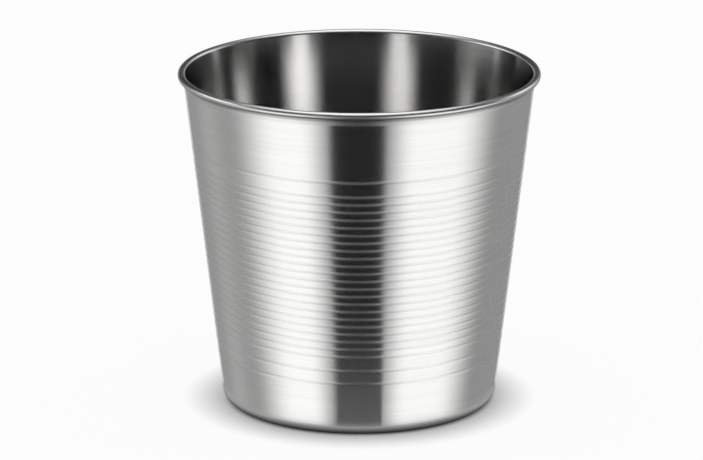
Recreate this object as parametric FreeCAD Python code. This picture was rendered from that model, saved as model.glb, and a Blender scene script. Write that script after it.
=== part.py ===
import FreeCAD, Part
import math
import os

# A deep drawn metal cup: one disc of sheet steel, drawn into a tapered wall, with its rim
# rolled outwards and ring grooves turned into the outer face. Lengths are millimetres and
# angles are degrees. +Z is up, and the origin is on the cup's axis, in the plane on which
# it stands. A height is measured from that plane, and a drop from the top of the rim.

# Overall form
mouth_diameter = 88.0       # over the rolled rim
base_diameter = 66.5        # where the line of the outer wall meets the table
cup_height = 82.5
sheet = 0.6                 # thickness of the drawn sheet

# Rolled rim
roll_hollow = 0.6           # diameter of the hollow inside the roll
roll_gap = 0.1              # between the sheet's cut edge and the wall

# Base
inside_corner = 2.4         # radius between the floor and the wall
foot_width = 3.0            # flat ring on which the cup stands
panel_rise = 0.6            # how far the panel inside that ring is raised
panel_bend = 3.0            # radius of the two bends up to the panel

# Ring grooves, V-shaped
groove_width = 1.0
groove_depth = 0.08
groove_pitch = 1.94         # in the band of even grooves
upper_groove_drop = 17.6    # the single groove above the band
band_top_drop = 21.2
band_bottom_height = 20.5
lower_groove_heights = (16.9, 13.6)

axis_origin = FreeCAD.Vector(0, 0, 0)
up = FreeCAD.Vector(0, 0, 1)

roll_radius = roll_hollow / 2 + sheet
roll_centre_height = cup_height - roll_radius


def wall_lean():
    """How far the wall leans from the vertical. Its outer face rises from the base diameter
    and passes inside the roll's centre by the radius of the hollow."""
    across = mouth_diameter / 2 - roll_radius - base_diameter / 2
    distance = math.hypot(across, roll_centre_height)
    return math.degrees(math.atan2(across, roll_centre_height) - math.asin(roll_hollow / 2 / distance))


lean = wall_lean()


def polar(angle, length):
    """A vector in the XZ plane. Angle 0 points away from the axis and 90 points up."""
    return FreeCAD.Vector(math.cos(math.radians(angle)), 0, math.sin(math.radians(angle))) * length


class SheetPath:
    """Draws a sheet's section in the XZ plane by following its middle line. Both faces keep
    half the sheet's thickness away from that line, so the sheet is as thick in its bends."""

    def __init__(self, start):
        self.place = start
        self.heading = 0.0
        self.outer = []
        self.inner = []
        self.first = self.faces()

    def faces(self):
        """The points of the outer and the inner face that are level with the middle line."""
        half = polar(self.heading + 90, sheet / 2)
        return self.place - half, self.place + half

    def run(self, length):
        """Goes straight on."""
        start = self.faces()
        self.place += polar(self.heading, length)
        end = self.faces()
        self.outer.append(Part.LineSegment(start[0], end[0]).toShape())
        self.inner.append(Part.LineSegment(start[1], end[1]).toShape())

    def bend(self, radius, angle):
        """Turns on a radius of the middle line, to the left where the angle is positive."""
        side = math.copysign(90, angle)
        start = self.faces()
        centre = self.place + polar(self.heading + side, radius)
        stops = []
        for _ in range(2):
            self.heading += angle / 2
            self.place = centre - polar(self.heading + side, radius)
            stops.append(self.faces())
        halfway, end = stops
        self.outer.append(Part.Arc(start[0], halfway[0], end[0]).toShape())
        self.inner.append(Part.Arc(start[1], halfway[1], end[1]).toShape())

    def section(self):
        """The face between both sides of the sheet, closed at its two ends."""
        at_start = Part.LineSegment(*self.first).toShape()
        at_end = Part.LineSegment(*self.faces()).toShape()
        return Part.Face(Part.Wire(self.outer + [at_end] + self.inner[::-1] + [at_start]))


def add_base(path):
    """The raised panel, the step down from it and the ring on which the cup stands."""
    step_angle = math.degrees(math.acos(1 - panel_rise / 2 / panel_bend))
    step_reach = 2 * panel_bend * math.sin(math.radians(step_angle))
    corner_reach = (inside_corner + sheet) * math.tan(math.radians((90 - lean) / 2))
    foot_radius = base_diameter / 2 - corner_reach
    path.run(foot_radius - foot_width - step_reach)
    path.bend(panel_bend, -step_angle)
    path.bend(panel_bend, step_angle)
    path.run(foot_width)


def add_wall(path):
    """The corner out of the base and the tapered wall, up to where the rim's roll begins."""
    path.bend(inside_corner + sheet / 2, 90 - lean)
    roll_start = roll_centre_height + (roll_hollow + sheet) / 2 * math.sin(math.radians(lean))
    path.run((roll_start - path.place.z) / math.cos(math.radians(lean)))


def add_roll(path):
    """The rim, rolled outwards and down until its cut edge is one gap away from the wall."""
    tuck = math.degrees(math.asin((roll_hollow / 2 - roll_gap) / roll_radius))
    path.bend((roll_hollow + sheet) / 2, -(270 + tuck))


def drawn_shell():
    """The cup as it leaves the press and the rim roller, with a smooth wall."""
    path = SheetPath(FreeCAD.Vector(0, 0, panel_rise + sheet / 2))
    add_base(path)
    add_wall(path)
    add_roll(path)
    return path.section().revolve(axis_origin, up, 360)


def groove_heights():
    """The height of every ring groove, from the top down."""
    band_top = cup_height - band_top_drop
    gaps = round((band_top - band_bottom_height) / groove_pitch)
    band = [band_top - i * (band_top - band_bottom_height) / gaps for i in range(gaps + 1)]
    return [cup_height - upper_groove_drop, *band, *lower_groove_heights]


def groove_cutter(height):
    """The ring that a turning tool takes off the outer face: a V that opens outwards."""
    on_wall = FreeCAD.Vector(base_diameter / 2 + height * math.tan(math.radians(lean)), 0, height)
    bottom = on_wall - polar(-lean, groove_depth)
    flank = polar(90 - lean, groove_width / 2) + polar(-lean, groove_depth)
    mirrored = polar(-90 - lean, groove_width / 2) + polar(-lean, groove_depth)
    corners = [bottom, bottom + flank * 2, bottom + mirrored * 2, bottom]
    return Part.Face(Part.makePolygon(corners)).revolve(axis_origin, up, 360)


def cup():
    return drawn_shell().cut([groove_cutter(height) for height in groove_heights()])


os.makedirs("parts", exist_ok=True)
cup().exportStep("parts/cup.step")
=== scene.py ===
import math

import bmesh
import bpy
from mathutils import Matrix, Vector


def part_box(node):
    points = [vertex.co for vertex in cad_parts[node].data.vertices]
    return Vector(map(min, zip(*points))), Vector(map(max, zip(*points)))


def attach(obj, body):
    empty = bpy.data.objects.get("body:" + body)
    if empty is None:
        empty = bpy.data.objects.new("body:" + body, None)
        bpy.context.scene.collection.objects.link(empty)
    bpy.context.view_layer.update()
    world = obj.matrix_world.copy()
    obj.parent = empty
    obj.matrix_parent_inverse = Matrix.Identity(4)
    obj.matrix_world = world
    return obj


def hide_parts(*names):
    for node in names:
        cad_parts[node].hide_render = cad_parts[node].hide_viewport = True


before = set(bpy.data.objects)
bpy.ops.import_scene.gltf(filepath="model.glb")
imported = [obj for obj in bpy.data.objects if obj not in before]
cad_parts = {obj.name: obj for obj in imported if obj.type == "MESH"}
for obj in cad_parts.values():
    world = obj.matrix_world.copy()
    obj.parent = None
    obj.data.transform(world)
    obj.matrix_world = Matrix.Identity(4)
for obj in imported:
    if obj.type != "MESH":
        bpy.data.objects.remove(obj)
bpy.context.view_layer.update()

bl_info = {
    "name": "Drawn Steel Cup",
    "version": (1, 0, 0),
    "blender": (4, 5, 0),
    "location": "3D Viewport > Sidebar > Cup",
    "description": "Dresses the packed cup in brushed steel and sets it in a small studio",
    "category": "Object",
}

MM = 0.001
CUP_NODE = "cup"
low_corner, high_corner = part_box(CUP_NODE)
MOUTH_DIAMETER = 2 * min(-low_corner.x, -low_corner.y, high_corner.x, high_corner.y)
CUP_HEIGHT = high_corner.z - low_corner.z


def length(name, description, default):
    """A length in metres, shown in the scene's own unit."""
    return bpy.props.FloatProperty(
        name=name, description=description, default=default, unit="LENGTH", precision=5)


def share(name, description, default):
    """A number from 0 to 1."""
    return bpy.props.FloatProperty(
        name=name, description=description, default=default, min=0, max=1, subtype="FACTOR")


def strength(name, description, default):
    """A number from 0 up."""
    return bpy.props.FloatProperty(name=name, description=description, default=default, min=0)


def colour(name, description, default):
    """A colour, in linear light."""
    return bpy.props.FloatVectorProperty(
        name=name, description=description, default=default, min=0, max=1, subtype="COLOR")


class CupSizes(bpy.types.PropertyGroup):
    """The drawn cup's own sizes."""

    mouth: length("Mouth", "Diameter over the rolled rim", MOUTH_DIAMETER)
    height: length("Height", "From the table to the top of the rim", CUP_HEIGHT)
    base: length("Base", "Diameter where the line of the outer wall meets the table", 66.5 * MM)
    sheet: length("Sheet", "Thickness of the steel", 0.6 * MM)
    roll_hollow: length("Roll hollow", "Diameter of the hollow inside the rim's roll", 0.6 * MM)
    roll_gap: length("Roll gap", "From the sheet's cut edge to the wall", 0.1 * MM)
    inside_corner: length("Inside corner", "Radius between the floor and the wall", 2.4 * MM)
    foot_width: length("Foot", "Width of the flat ring on which the cup stands", 3 * MM)
    panel_rise: length("Panel rise", "Height of the raised panel inside the foot", 0.6 * MM)
    panel_bend: length("Panel bend", "Radius of the bends up to the panel", 3 * MM)
    groove_width: length("Groove width", "Width of a turned ring groove", 1 * MM)
    groove_depth: length("Groove depth", "Depth of a turned ring groove", 0.08 * MM)
    groove_pitch: length("Groove pitch", "Spacing in the band of even grooves", 1.94 * MM)
    upper_groove_drop: length("Upper groove", "Single groove, below the rim", 17.6 * MM)
    band_top_drop: length("Band top", "Highest groove of the band, below the rim", 21.2 * MM)
    band_bottom: length("Band bottom", "Height of the band's lowest groove", 20.5 * MM)
    lower_groove: length("Lower groove", "Height of the first groove below the band", 16.9 * MM)
    lowest_groove: length("Lowest groove", "Height of the lowest groove", 13.6 * MM)
    neck: length("Neck", "Width of the turned ring under the rim", 1.05 * MM)
    neck_drop: length("Neck drop", "From the middle of the rim's roll down to the turned ring", 1.35 * MM)
    segments: bpy.props.IntProperty(
        name="Segments", description="Faces around the cup", default=320, min=32)


class SteelFinish(bpy.types.PropertyGroup):
    """How the steel looks."""

    steel: colour("Steel", "Colour of the clean steel", (0.88, 0.875, 0.868))
    turned_steel: colour("Turned steel", "Colour of the steel in the turned rings", (0.78, 0.775, 0.768))
    dull: colour("Dull steel", "Colour between the brush marks", (0.80, 0.795, 0.788))
    brushed: share("Brushed", "Roughness of the brushed outer wall", 0.21)
    # Painted shade: a darker colour for the crease under the rim's roll and the wall just below it, where
    # shade falls
    painted_crease_shade: colour(
        "Painted crease shade", "Colour of the steel in the crease under the roll", (0.4, 0.395, 0.39))
    polished: share("Polished", "Roughness of the polished inside", 0.14)
    rim: share("Rim", "Roughness of the rolled rim", 0.34)
    turned: share("Turned", "Roughness in the turned grooves and under the rim", 0.29)
    grain: share("Grain", "How much the brush marks change the roughness", 0.05)
    bump: share("Bump", "How strongly the brush marks stand out", 0.4)
    depth: length("Depth", "How deep the brush marks are", 0.02 * MM)
    stretch: share("Stretch", "How far the brushing draws out reflections", 0.9)


class StudioSettings(bpy.types.PropertyGroup):
    """The floor, the light and the camera."""

    floor: colour("Floor", "Colour of the floor and the background", (0.96, 0.96, 0.96))
    table: length("Table", "Radius of the shaded table that the cup's foot reflects", 37.5 * MM)
    daylight: strength("Daylight", "Strength of the even light from all around", 0.35)
    overhead: strength("Overhead", "Strength of the light from overhead, on top of the daylight", 1.0)
    backdrop: strength("Backdrop", "How bright the backdrop looks", 0.98)
    evenness: share("Evenness", "How far the floor looks like the backdrop, away from the cup", 0.95)
    shade: length("Shade", "How far the cup's shadow reaches on the floor", 10.5 * MM)
    lens: bpy.props.FloatProperty(
        name="Lens", description="Focal length of the camera", default=240.5, subtype="DISTANCE_CAMERA")
    distance: length("Distance", "From the camera to the point that it looks at", 26.1 * MOUTH_DIAMETER / 2)
    elevation: bpy.props.FloatProperty(
        name="Elevation", description="Angle at which the camera looks down",
        default=math.radians(15.59), subtype="ANGLE")
    aim: bpy.props.FloatVectorProperty(
        name="Aim", description="The point that the camera looks at", subtype="TRANSLATION",
        default=(-0.0429 * MOUTH_DIAMETER / 2, 0, 0.958 * MOUTH_DIAMETER / 2), precision=5)


# Geometry of the drawn sheet


def polar(angle, distance):
    """A vector in the section's plane. Angle 0 points away from the axis and 90 degrees up."""
    return Vector((math.cos(angle), math.sin(angle))) * distance


class Section:
    """The sheet's section, drawn by following its middle line with both faces beside it.
    Each point of a face holds its place, how far it was turned in a lathe, and whether it
    belongs to the rolled rim and to the crease under it, where shade is painted into the colour."""

    def __init__(self, start, sheet):
        self.place, self.heading, self.half = start, 0.0, sheet / 2
        self.outer, self.inner = [], []
        self.rim = self.crease = 0.0
        self.mark()

    def mark(self):
        normal = polar(self.heading + math.pi / 2, self.half)
        self.outer.append((self.place - normal, 0.0, self.rim, self.crease))
        self.inner.append((self.place + normal, 0.0, self.rim, self.crease))

    def run(self, distance):
        self.place = self.place + polar(self.heading, distance)
        self.mark()

    def bend(self, radius, angle, steps):
        """Turns on a radius of the middle line, to the left where the angle is positive."""
        side = math.copysign(math.pi / 2, angle)
        centre = self.place + polar(self.heading + side, radius)
        for _ in range(steps):
            self.heading += angle / steps
            self.place = centre - polar(self.heading + side, radius)
            self.mark()


def wall_lean(sizes):
    """How far the wall leans out: it rises from the base diameter and passes inside the
    centre of the rim's roll."""
    roll = sizes.roll_hollow / 2 + sizes.sheet
    across = (sizes.mouth - sizes.base) / 2 - roll
    up = sizes.height - roll
    return math.atan2(across, up) - math.asin(sizes.roll_hollow / 2 / math.hypot(across, up))


def groove_heights(sizes):
    """The height of each ring groove, from the bottom up."""
    top = sizes.height - sizes.band_top_drop
    gaps = round((top - sizes.band_bottom) / sizes.groove_pitch)
    band = [sizes.band_bottom + i * (top - sizes.band_bottom) / gaps for i in range(gaps + 1)]
    return [sizes.lowest_groove, sizes.lower_groove, *band, sizes.height - sizes.upper_groove_drop]


def cut_grooves(section, sizes):
    """Puts the grooves' points into the outer wall, after its corner with the base."""
    lean = section.heading
    foot = section.outer[-1][0]
    for height in groove_heights(sizes):
        centre = foot + polar(lean, (height - foot.y) / math.sin(lean))
        for across, depth in ((-1.2, 0), (-1, 0), (-0.5, 0.5), (0, 1), (0.5, 0.5), (1, 0), (1.2, 0)):
            place = centre + polar(lean, across * sizes.groove_width / 2)
            place = place + polar(lean + math.pi / 2, depth * sizes.groove_depth)
            section.outer.append((place, depth, 0.0, 0.0))


def turn_neck(section, sizes):
    """Puts points under the rim's roll: the crease, marked for painted shade, and, below it, a ring that was
    turned.
    """
    top, *marks = section.outer.pop()
    soft = sizes.neck / 4
    bottom, middle = sizes.neck_drop + sizes.neck, sizes.neck_drop + sizes.neck / 2
    for below, turned, crease in (
            (bottom + soft, 0.0, 0.0), (bottom, 1.0, 0.0), (middle, 1.0, 0.0),
            (sizes.neck_drop, 1.0, 1.0), (sizes.neck_drop - soft, 0.0, 1.0)):
        section.outer.append((top - polar(section.heading, below), turned, 0.0, crease))
    section.outer.append((top, 0.0, 0.0, 1.0))


def cup_section(sizes):
    """The section of the whole cup, from the middle of its base to the rim's cut edge."""
    lean = wall_lean(sizes)
    upright = math.pi / 2 - lean
    roll_line = (sizes.roll_hollow + sizes.sheet) / 2
    roll_radius = sizes.roll_hollow / 2 + sizes.sheet
    step = math.acos(1 - sizes.panel_rise / 2 / sizes.panel_bend)
    foot = sizes.base / 2 - (sizes.inside_corner + sizes.sheet) * math.tan(upright / 2)
    section = Section(Vector((0, sizes.panel_rise + sizes.sheet / 2)), sizes.sheet)
    section.run(foot - sizes.foot_width - 2 * sizes.panel_bend * math.sin(step))
    section.bend(sizes.panel_bend, -step, 5)
    section.bend(sizes.panel_bend, step, 5)
    section.run(sizes.foot_width)
    section.bend(sizes.inside_corner + sizes.sheet / 2, upright, 14)
    cut_grooves(section, sizes)
    roll_start = sizes.height - roll_radius + roll_line * math.sin(lean)
    section.run((roll_start - section.place.y) / math.cos(lean))
    turn_neck(section, sizes)
    section.rim = 1.0
    tuck = math.asin((sizes.roll_hollow / 2 - sizes.roll_gap) / roll_radius)
    underside = math.radians(100)
    section.bend(roll_line, -(math.pi * 1.5 + tuck - underside), 24)
    # From here on, the roll's underside is marked for painted shade
    section.crease = 1.0
    section.bend(roll_line, -underside, 9)
    return section


def revolve(name, section, segments):
    """Turns the section about the axis into a closed mesh that keeps what marks each point."""
    loop = [(*point, 0.0) for point in section.outer]
    loop += [(*point, 1.0) for point in reversed(section.inner)]
    rings = loop[1:-1]
    marks = dict(zip(("turned", "rim", "crease", "inside"), zip(*[ring[1:] for ring in rings])))
    turns = [math.tau * i / segments for i in range(segments)]
    points = [(ring[0].x * math.cos(a), ring[0].x * math.sin(a), ring[0].y) for ring in rings for a in turns]
    under, over = len(points), len(points) + 1
    points += [(0, 0, loop[0][0].y), (0, 0, loop[-1][0].y)]
    last = (len(rings) - 1) * segments
    faces = []
    for i in range(segments):
        j = (i + 1) % segments
        faces.append((under, j, i))
        faces.append((over, last + i, last + j))
        for row in range(0, last, segments):
            faces.append((row + i, row + j, row + segments + j, row + segments + i))
    mesh = bpy.data.meshes.new(name)
    mesh.from_pydata(points, [], faces)
    mesh.shade_smooth()
    for name, values in marks.items():
        layer = mesh.attributes.new(name, "FLOAT", "POINT")
        layer.data.foreach_set("value", [v for v in values for _ in turns] + [values[0], values[-1]])
    return mesh


# Shaders


class Field:
    """A number that varies over a surface. Its arithmetic adds Math nodes."""

    def __init__(self, nodes, socket):
        self.nodes, self.socket = nodes, socket

    def maths(self, operation, *values):
        return self.nodes.add("ShaderNodeMath", {"operation": operation}, dict(enumerate(values))).field()

    def __add__(self, other):
        return self.maths("ADD", self, other)

    def __sub__(self, other):
        return self.maths("SUBTRACT", self, other)

    def __rsub__(self, other):
        return self.maths("SUBTRACT", other, self)

    def __mul__(self, other):
        return self.maths("MULTIPLY", self, other)

    def __truediv__(self, other):
        return self.maths("DIVIDE", self, other)

    def root(self):
        return self.maths("SQRT", self)

    def __rtruediv__(self, other):
        return self.maths("DIVIDE", other, self)

    __radd__ = __add__
    __rmul__ = __mul__

    def held(self):
        """This number, kept between 0 and 1."""
        return self.nodes.add("ShaderNodeClamp", {}, {"Value": self}).field()

    def blend(self, low, high):
        """low where this number is 0 and high where it is 1."""
        return self * high + (1 - self) * low

    def rise(self, start, end):
        """0 below start and 1 above end, with a smooth change between them."""
        settings = {"interpolation_type": "SMOOTHSTEP"}
        return self.nodes.add("ShaderNodeMapRange", settings, {0: self, 1: start, 2: end}).field()


class Added:
    """A node that was added, and its outputs as fields."""

    def __init__(self, nodes, node):
        self.nodes, self.node = nodes, node

    def field(self, output=0):
        return Field(self.nodes, self.node.outputs[output])


class Nodes:
    """The node tree of a material or of the world."""

    def __init__(self, owner):
        owner.use_nodes = True
        self.tree = owner.node_tree
        self.tree.nodes.clear()

    def add(self, kind, settings, inputs):
        """Adds a node, makes its settings and then fills or links its inputs."""
        node = self.tree.nodes.new(kind)
        for key, value in settings.items():
            setattr(node, key, value)
        for key, value in inputs.items():
            if isinstance(value, Field):
                self.tree.links.new(value.socket, node.inputs[key])
            else:
                node.inputs[key].default_value = value
        return Added(self, node)

    def attribute(self, name):
        return self.add("ShaderNodeAttribute", {"attribute_name": name}, {}).field("Fac")

    def place(self):
        """The surface point's x, y and z, in metres."""
        where = self.add("ShaderNodeTexCoord", {}, {}).field("Object")
        parts = self.add("ShaderNodeSeparateXYZ", {}, {"Vector": where})
        return parts.field("X"), parts.field("Y"), parts.field("Z")

    def vector(self, x, y, z):
        return self.add("ShaderNodeCombineXYZ", {}, {"X": x, "Y": y, "Z": z}).field()

    def noise(self, where, scale, detail, roughness=0.5):
        inputs = {"Vector": where, "Scale": scale, "Detail": detail, "Roughness": roughness}
        return self.add("ShaderNodeTexNoise", {}, inputs).field("Fac")

    def mix_colour(self, factor, a, b):
        settings = {"data_type": "RGBA"}
        return self.add("ShaderNodeMix", settings, {0: factor, 6: a, 7: b}).field(2)


WHITE = (1, 1, 1, 1)
FINE_MARKS = (12, 4200)  # brush marks in a metre: around the cup, and from mark to mark
BROAD_MARKS = (20, 700)
FINE_SHARE = 0.65
CONTRAST = 3.0  # of the colour between the brush marks


def rgba(colour_value):
    return (*colour_value, 1.0)


def brushed_steel(finish):
    """Steel that was brushed around the cup's axis: fine ring marks, long in one direction."""
    material = bpy.data.materials.new("brushed_steel")
    nodes = Nodes(material)
    x, y, z = nodes.place()
    turned, rim, crease, inside = (nodes.attribute(name) for name in ("turned", "rim", "crease", "inside"))
    along = z + from_axis(x, y)
    around, across = FINE_MARKS
    fine = nodes.noise(nodes.vector(x * around, y * around, along * across), 1.0, 3.0, 0.7)
    around, across = BROAD_MARKS
    broad = nodes.noise(nodes.vector(x * around, y * around, along * across), 1.0, 2.0)
    marks = fine * FINE_SHARE + broad * (1 - FINE_SHARE)
    between = (marks * CONTRAST - (CONTRAST - 1) / 2).held()
    brushed = nodes.mix_colour(between, rgba(finish.dull), rgba(finish.steel))
    clean = nodes.mix_colour(turned, brushed, rgba(finish.turned_steel))
    metal = {
        # Painted shade: the crease mark darkens the base colour under the rim's roll
        "Base Color": nodes.mix_colour(crease, clean, rgba(finish.painted_crease_shade)),
        "Metallic": 1.0,
        "Normal": nodes.add("ShaderNodeBump", {}, {
            "Strength": finish.bump, "Distance": finish.depth, "Height": marks}).field(),
    }
    drawn_out = nodes.add("ShaderNodeBsdfPrincipled", {}, metal | {
        "Roughness": inside.blend(finish.brushed, finish.polished) + (marks - 0.5) * finish.grain,
        "Anisotropic": finish.stretch,
        "Anisotropic Rotation": 0.25,
    })
    even = nodes.add("ShaderNodeBsdfPrincipled", {}, metal | {
        "Roughness": rim.blend(finish.turned, finish.rim) + (marks - 0.5) * finish.grain,
    })
    steel = nodes.add("ShaderNodeMixShader", {}, {
        0: (turned + rim).held(), 1: drawn_out.field(), 2: even.field()})
    nodes.add("ShaderNodeOutputMaterial", {}, {"Surface": steel.field()})
    return material


# The studio


def show(name, mesh):
    """Puts a mesh into the scene as an object."""
    shown = bpy.data.objects.new(name, mesh)
    bpy.context.scene.collection.objects.link(shown)
    return shown


class Softbox:
    """A soft light on the tent around the cup. Its angles are in degrees: across is 0 towards
    the camera and grows to the camera's right, and up is 0 at the floor. In each direction the
    light starts at the first angle, is full from the second to the third and ends at the last."""

    def __init__(self, strength, across, up):
        self.strength, self.across, self.up = strength, across, up

    def shine(self, across, up):
        return self.window(across, *self.across) * self.window(up, *self.up) * self.strength

    @staticmethod
    def window(angle, start, full, fading, end):
        return angle.rise(start, full) * (1 - angle.rise(fading, end))


FLOOR_REACH = 3.0
TENT_RADIUS = 3.0
TABLE_LIGHT = 0.42
TABLE_RISE = (31 * MM, 37 * MM)  # from the axis, where the table's light starts and is full
CARD_FOOT = 34 * MM  # from the axis to the wall, at the height of the card
CARD_REACH = (3.5 * MM, 50 * MM)  # from the wall to the card's near and far edge
CARD_TURN = math.radians(9.5)  # half the part of the wall that mirrors the card
CARD_LIGHT = 0.09
CARD_LEAST = 0.015
CARD_FALL = (45 * MM, 85 * MM)  # from the axis, where the card's light starts to fall and is least

# The heights between which softboxes shine, in the order that Softbox gives
LOW = (-70, -54, -6, 6)
BACK = (-70, -54, 1, 9)
SIDES = (2, 9, 16, 38)
FRONT = (2, 4, 8, 13)
TENT = {
    "left_fill": Softbox(0.34, (-162, -154, -22, -19), LOW),
    "left_glow": Softbox(0.86, (-98, -58, -41, -17), LOW),
    "left_edge": Softbox(0.08, (-142, -127, -119, -105), LOW),
    "front_fill": Softbox(0.008, (-22, -18, 17, 21), LOW),
    "front_card": Softbox(0.3, (-17, -13, 12, 16), (-10, -6, -3, 2)),
    "right_fill": Softbox(0.31, (17, 19, 154, 162), LOW),
    "right_glow": Softbox(0.86, (14, 39, 70, 110), LOW),
    "left_back": Softbox(0.8, (-182, -181, -165, -157), BACK),
    "right_back": Softbox(0.8, (157, 165, 181, 182), BACK),
    "left_box": Softbox(1.9, (-134, -102, -98, -66), SIDES),
    "right_box": Softbox(1.55, (94, 123, 127, 156), SIDES),
    "left_front_lamp": Softbox(0.8, (-36, -29, -25, -18), FRONT),
    "right_front_lamp": Softbox(0.9, (32, 38, 42, 48), FRONT),
    "top_box": Softbox(1.25, (-182, -181, 181, 182), (46, 62, 91, 92)),
}


class CUP_OT_shell(bpy.types.Operator):
    """Makes the drawn cup and dresses it in brushed steel"""

    bl_idname = "cup.shell"
    bl_label = "Drawn shell"

    def execute(self, context):
        sizes = context.scene.cup_sizes
        mesh = revolve("drawn_shell", cup_section(sizes), sizes.segments)
        mesh.materials.append(brushed_steel(context.scene.cup_finish))
        shell = show("drawn_shell", mesh)
        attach(shell, "root")
        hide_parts(CUP_NODE)
        return {"FINISHED"}


class CUP_OT_studio(bpy.types.Operator):
    """Makes the floor, the light and the camera"""

    bl_idname = "cup.studio"
    bl_label = "Studio"

    def execute(self, context):
        studio = context.scene.cup_studio
        make_floor(studio)
        make_table(studio)
        make_front_card()
        make_tent()
        make_daylight(studio)
        make_camera(studio)
        context.scene.view_settings.view_transform = "Standard"
        return {"FINISHED"}


def make_floor(studio):
    """A white floor that looks like the backdrop, apart from the cup's soft shadow."""
    reach = FLOOR_REACH
    mesh = bpy.data.meshes.new("floor")
    corners = [(-reach, -reach, 0), (reach, -reach, 0), (reach, reach, 0), (-reach, reach, 0)]
    mesh.from_pydata(corners, [], [(0, 1, 2, 3)])
    material = bpy.data.materials.new("floor")
    nodes = Nodes(material)
    lit = nodes.add("ShaderNodeBsdfDiffuse", {}, {"Color": rgba(studio.floor)}).field()
    occlusion = nodes.add("ShaderNodeAmbientOcclusion", {"samples": 16}, {"Distance": studio.shade})
    light = occlusion.field("AO") * studio.backdrop
    plain = nodes.add("ShaderNodeEmission", {}, {"Color": WHITE, "Strength": light})
    seen = nodes.add("ShaderNodeLightPath", {}, {}).field("Is Camera Ray") * studio.evenness
    floor_shader = nodes.add("ShaderNodeMixShader", {}, {0: seen, 1: lit, 2: plain.field()})
    nodes.add("ShaderNodeOutputMaterial", {}, {"Surface": floor_shader.field()})
    mesh.materials.append(material)
    floor = show("floor", mesh)
    floor.visible_glossy = False


def make_glow(name, mesh, brightness):
    """Adds a glowing part of the studio that only the metal's reflections show. brightness
    works out its light from a point's x, y and z."""
    material = bpy.data.materials.new(name)
    nodes = Nodes(material)
    light = brightness(*nodes.place())
    shader = nodes.add("ShaderNodeEmission", {}, {"Color": WHITE, "Strength": light})
    nodes.add("ShaderNodeOutputMaterial", {}, {"Surface": shader.field()})
    mesh.materials.append(material)
    glow = show(name, mesh)
    for kind in ("camera", "diffuse", "transmission", "volume_scatter", "shadow"):
        setattr(glow, "visible_" + kind, False)
    return material


def from_axis(x, y):
    return (x * x + y * y).root()


def make_table(studio):
    """The shaded table round the foot. It grows lighter outwards."""
    disc = bmesh.new()
    bmesh.ops.create_circle(disc, cap_ends=True, segments=96, radius=studio.table)
    mesh = bpy.data.meshes.new("table")
    disc.to_mesh(mesh)
    disc.free()
    make_glow("table", mesh, lambda x, y, z: from_axis(x, y).rise(*TABLE_RISE) * TABLE_LIGHT)


def make_front_card():
    """A dim card on the table in front of the cup. Its sides follow the mirrored view, so
    that the dark stripe on the wall stays straight."""
    corners = [(side, reach) for side, reach in zip((-1, 1, 1, -1), sorted(CARD_REACH * 2))]
    points = [(side * (CARD_FOOT * math.sin(CARD_TURN) + reach * math.sin(2 * CARD_TURN)),
               -CARD_FOOT * math.cos(CARD_TURN) - reach * math.cos(2 * CARD_TURN), 0)
              for side, reach in corners]
    mesh = bpy.data.meshes.new("front_card")
    mesh.from_pydata(points, [], [(0, 1, 2, 3)])
    make_glow("front_card", mesh, lambda x, y, z: (
        (1 - from_axis(x, y).rise(*CARD_FALL)) * CARD_LIGHT + CARD_LEAST))


def tent_light(x, y, z):
    """The light of all the softboxes at a point of the tent."""
    across = x.maths("ARCTAN2", x, -1 * y) * math.degrees(1)
    height = z / TENT_RADIUS
    up = height.maths("ARCSINE", height) * math.degrees(1)
    light = 0.0
    for softbox in TENT.values():
        light = softbox.shine(across, up) + light
    return light


def make_tent():
    """A dark tent with soft lights, all round the cup."""
    sphere = bmesh.new()
    bmesh.ops.create_icosphere(sphere, subdivisions=4, radius=TENT_RADIUS)
    mesh = bpy.data.meshes.new("tent")
    sphere.to_mesh(mesh)
    sphere.free()
    material = make_glow("tent", mesh, tent_light)
    material.cycles.emission_sampling = "NONE"


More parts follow.
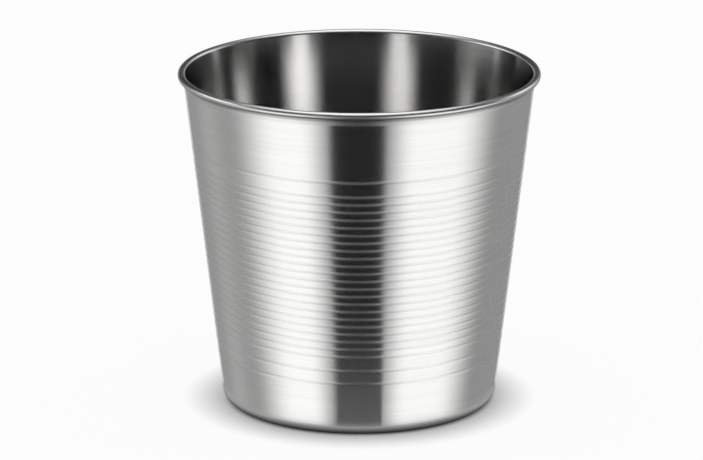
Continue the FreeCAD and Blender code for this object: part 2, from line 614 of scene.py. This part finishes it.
def make_daylight(studio):
    """White all round for the camera and in reflections, and soft light from overhead."""
    world = bpy.data.worlds.new("studio")
    world.cycles.sampling_method = "NONE"
    bpy.context.scene.world = world
    nodes = Nodes(world)
    path = nodes.add("ShaderNodeLightPath", {}, {})
    kinds = [path.field(kind) for kind in ("Is Camera Ray", "Is Glossy Ray", "Is Transmission Ray")]
    seen = (kinds[0] + kinds[1] + kinds[2]).held()
    where = nodes.add("ShaderNodeTexCoord", {}, {}).field("Generated")
    upward = nodes.add("ShaderNodeSeparateXYZ", {}, {"Vector": where}).field("Z")
    overhead = upward.rise(0.35, 0.85) * studio.overhead + studio.daylight
    background = nodes.add("ShaderNodeBackground", {}, {
        "Color": WHITE,
        "Strength": seen.blend(overhead, studio.backdrop),
    })
    nodes.add("ShaderNodeOutputWorld", {}, {"Surface": background.field()})


def make_camera(studio):
    """The camera, in front of the cup and above it."""
    data = bpy.data.cameras.new("camera")
    data.lens = studio.lens
    camera = bpy.data.objects.new("camera", data)
    bpy.context.scene.collection.objects.link(camera)
    back = Vector((0, -math.cos(studio.elevation), math.sin(studio.elevation)))
    camera.location = Vector(studio.aim) + back * studio.distance
    camera.rotation_euler = back.to_track_quat("Z", "Y").to_euler()
    bpy.context.scene.camera = camera


class CUP_PT_panel(bpy.types.Panel):
    """Lists the cup's pieces, the studio and their settings"""

    bl_label = "Drawn steel cup"
    bl_idname = "CUP_PT_panel"
    bl_space_type = "VIEW_3D"
    bl_region_type = "UI"
    bl_category = "Cup"

    def draw(self, context):
        for operator in OPERATORS:
            self.layout.operator(operator.bl_idname)
        for group in GROUPS:
            settings = getattr(context.scene, group)
            for name in settings.__annotations__:
                self.layout.prop(settings, name)


OPERATORS = (CUP_OT_shell, CUP_OT_studio)
GROUPS = {"cup_sizes": CupSizes, "cup_finish": SteelFinish, "cup_studio": StudioSettings}


def register():
    for made in (*GROUPS.values(), *OPERATORS, CUP_PT_panel):
        bpy.utils.register_class(made)
    for name, group in GROUPS.items():
        setattr(bpy.types.Scene, name, bpy.props.PointerProperty(type=group))


def unregister():
    for name in GROUPS:
        delattr(bpy.types.Scene, name)
    for made in (CUP_PT_panel, *OPERATORS[::-1], *list(GROUPS.values())[::-1]):
        bpy.utils.unregister_class(made)


def main():
    register()
    bpy.ops.cup.shell()
    bpy.ops.cup.studio()


if __name__ == "__main__":
    main()
